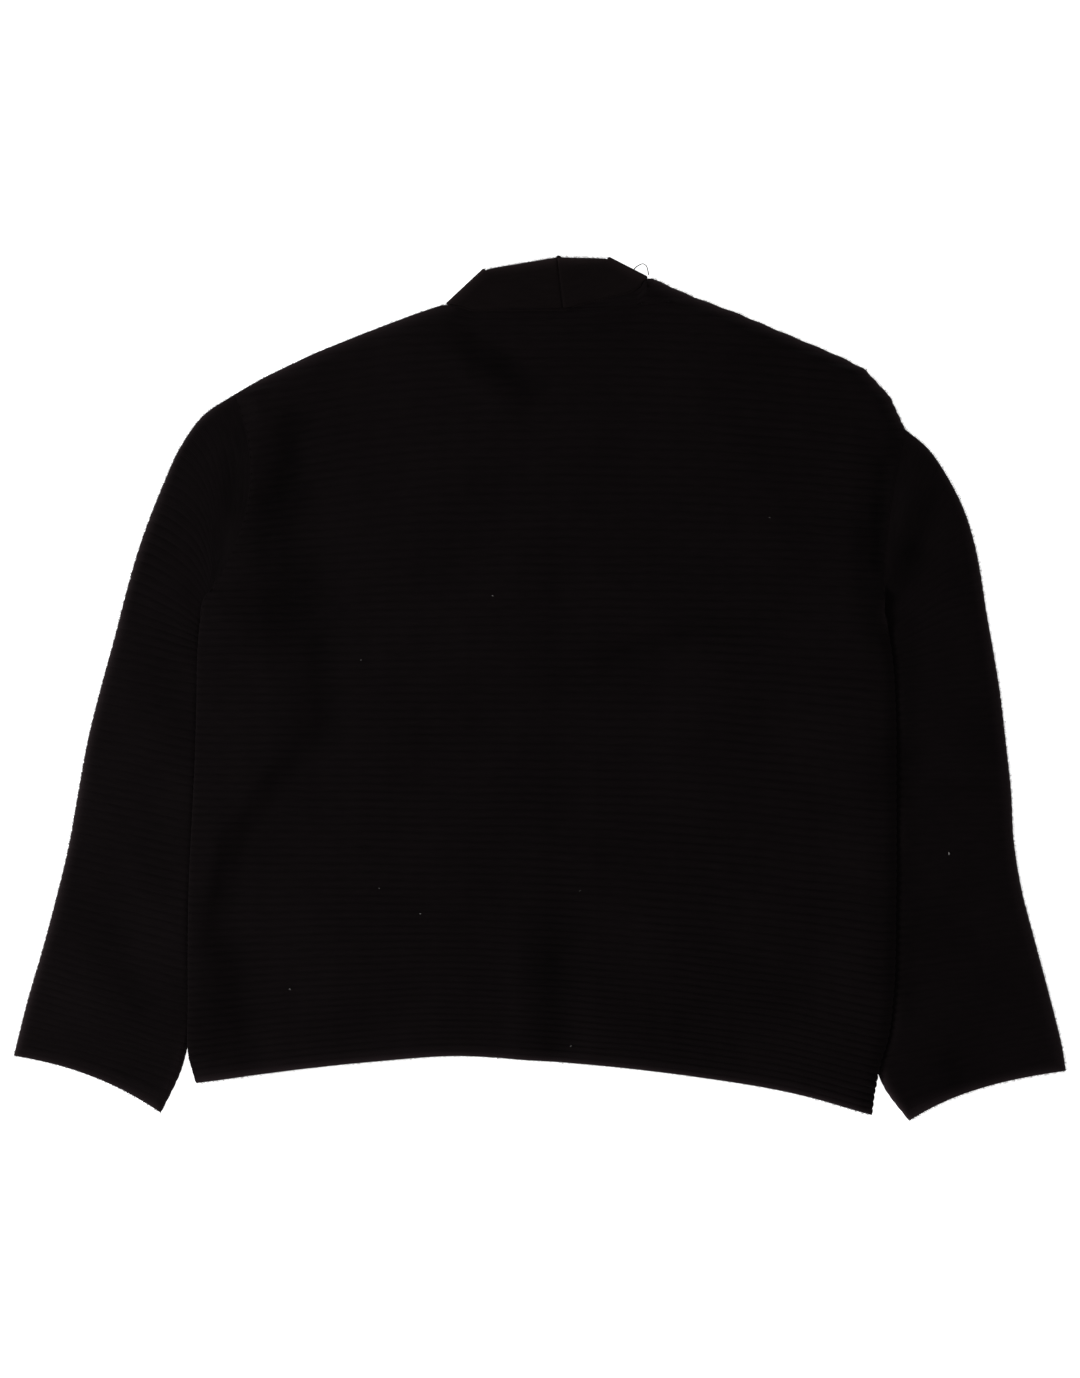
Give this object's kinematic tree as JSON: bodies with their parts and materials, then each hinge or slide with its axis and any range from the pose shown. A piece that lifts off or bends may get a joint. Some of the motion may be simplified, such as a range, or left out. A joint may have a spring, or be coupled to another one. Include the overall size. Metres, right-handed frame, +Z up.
{
  "type": "cardigan",
  "caption": "Boxy black cardigan in a cross-rib knit with a smooth neckband and an open front, laid flat on its front with its back uppermost.",
  "frame": {"origin": "on the surface that the cardigan lies on, under the middle of its bounding box", "axes": "+X across the garment from the left sleeve to the right one, +Y from the hem to the neck, +Z up from the surface"},
  "size_m": [0.8112, 0.6654, 0.0108],
  "materials": {
    "rib_knit": "matt black cross-rib knit",
    "smooth_knit": "matt black fine knit"
  },
  "bodies": {
    "root": {"back": "rib_knit", "front_left": "rib_knit", "front_right": "rib_knit", "sleeve_left": "rib_knit", "sleeve_right": "rib_knit", "band_left": "smooth_knit", "band_right": "smooth_knit"}
  },
  "joints": []
}
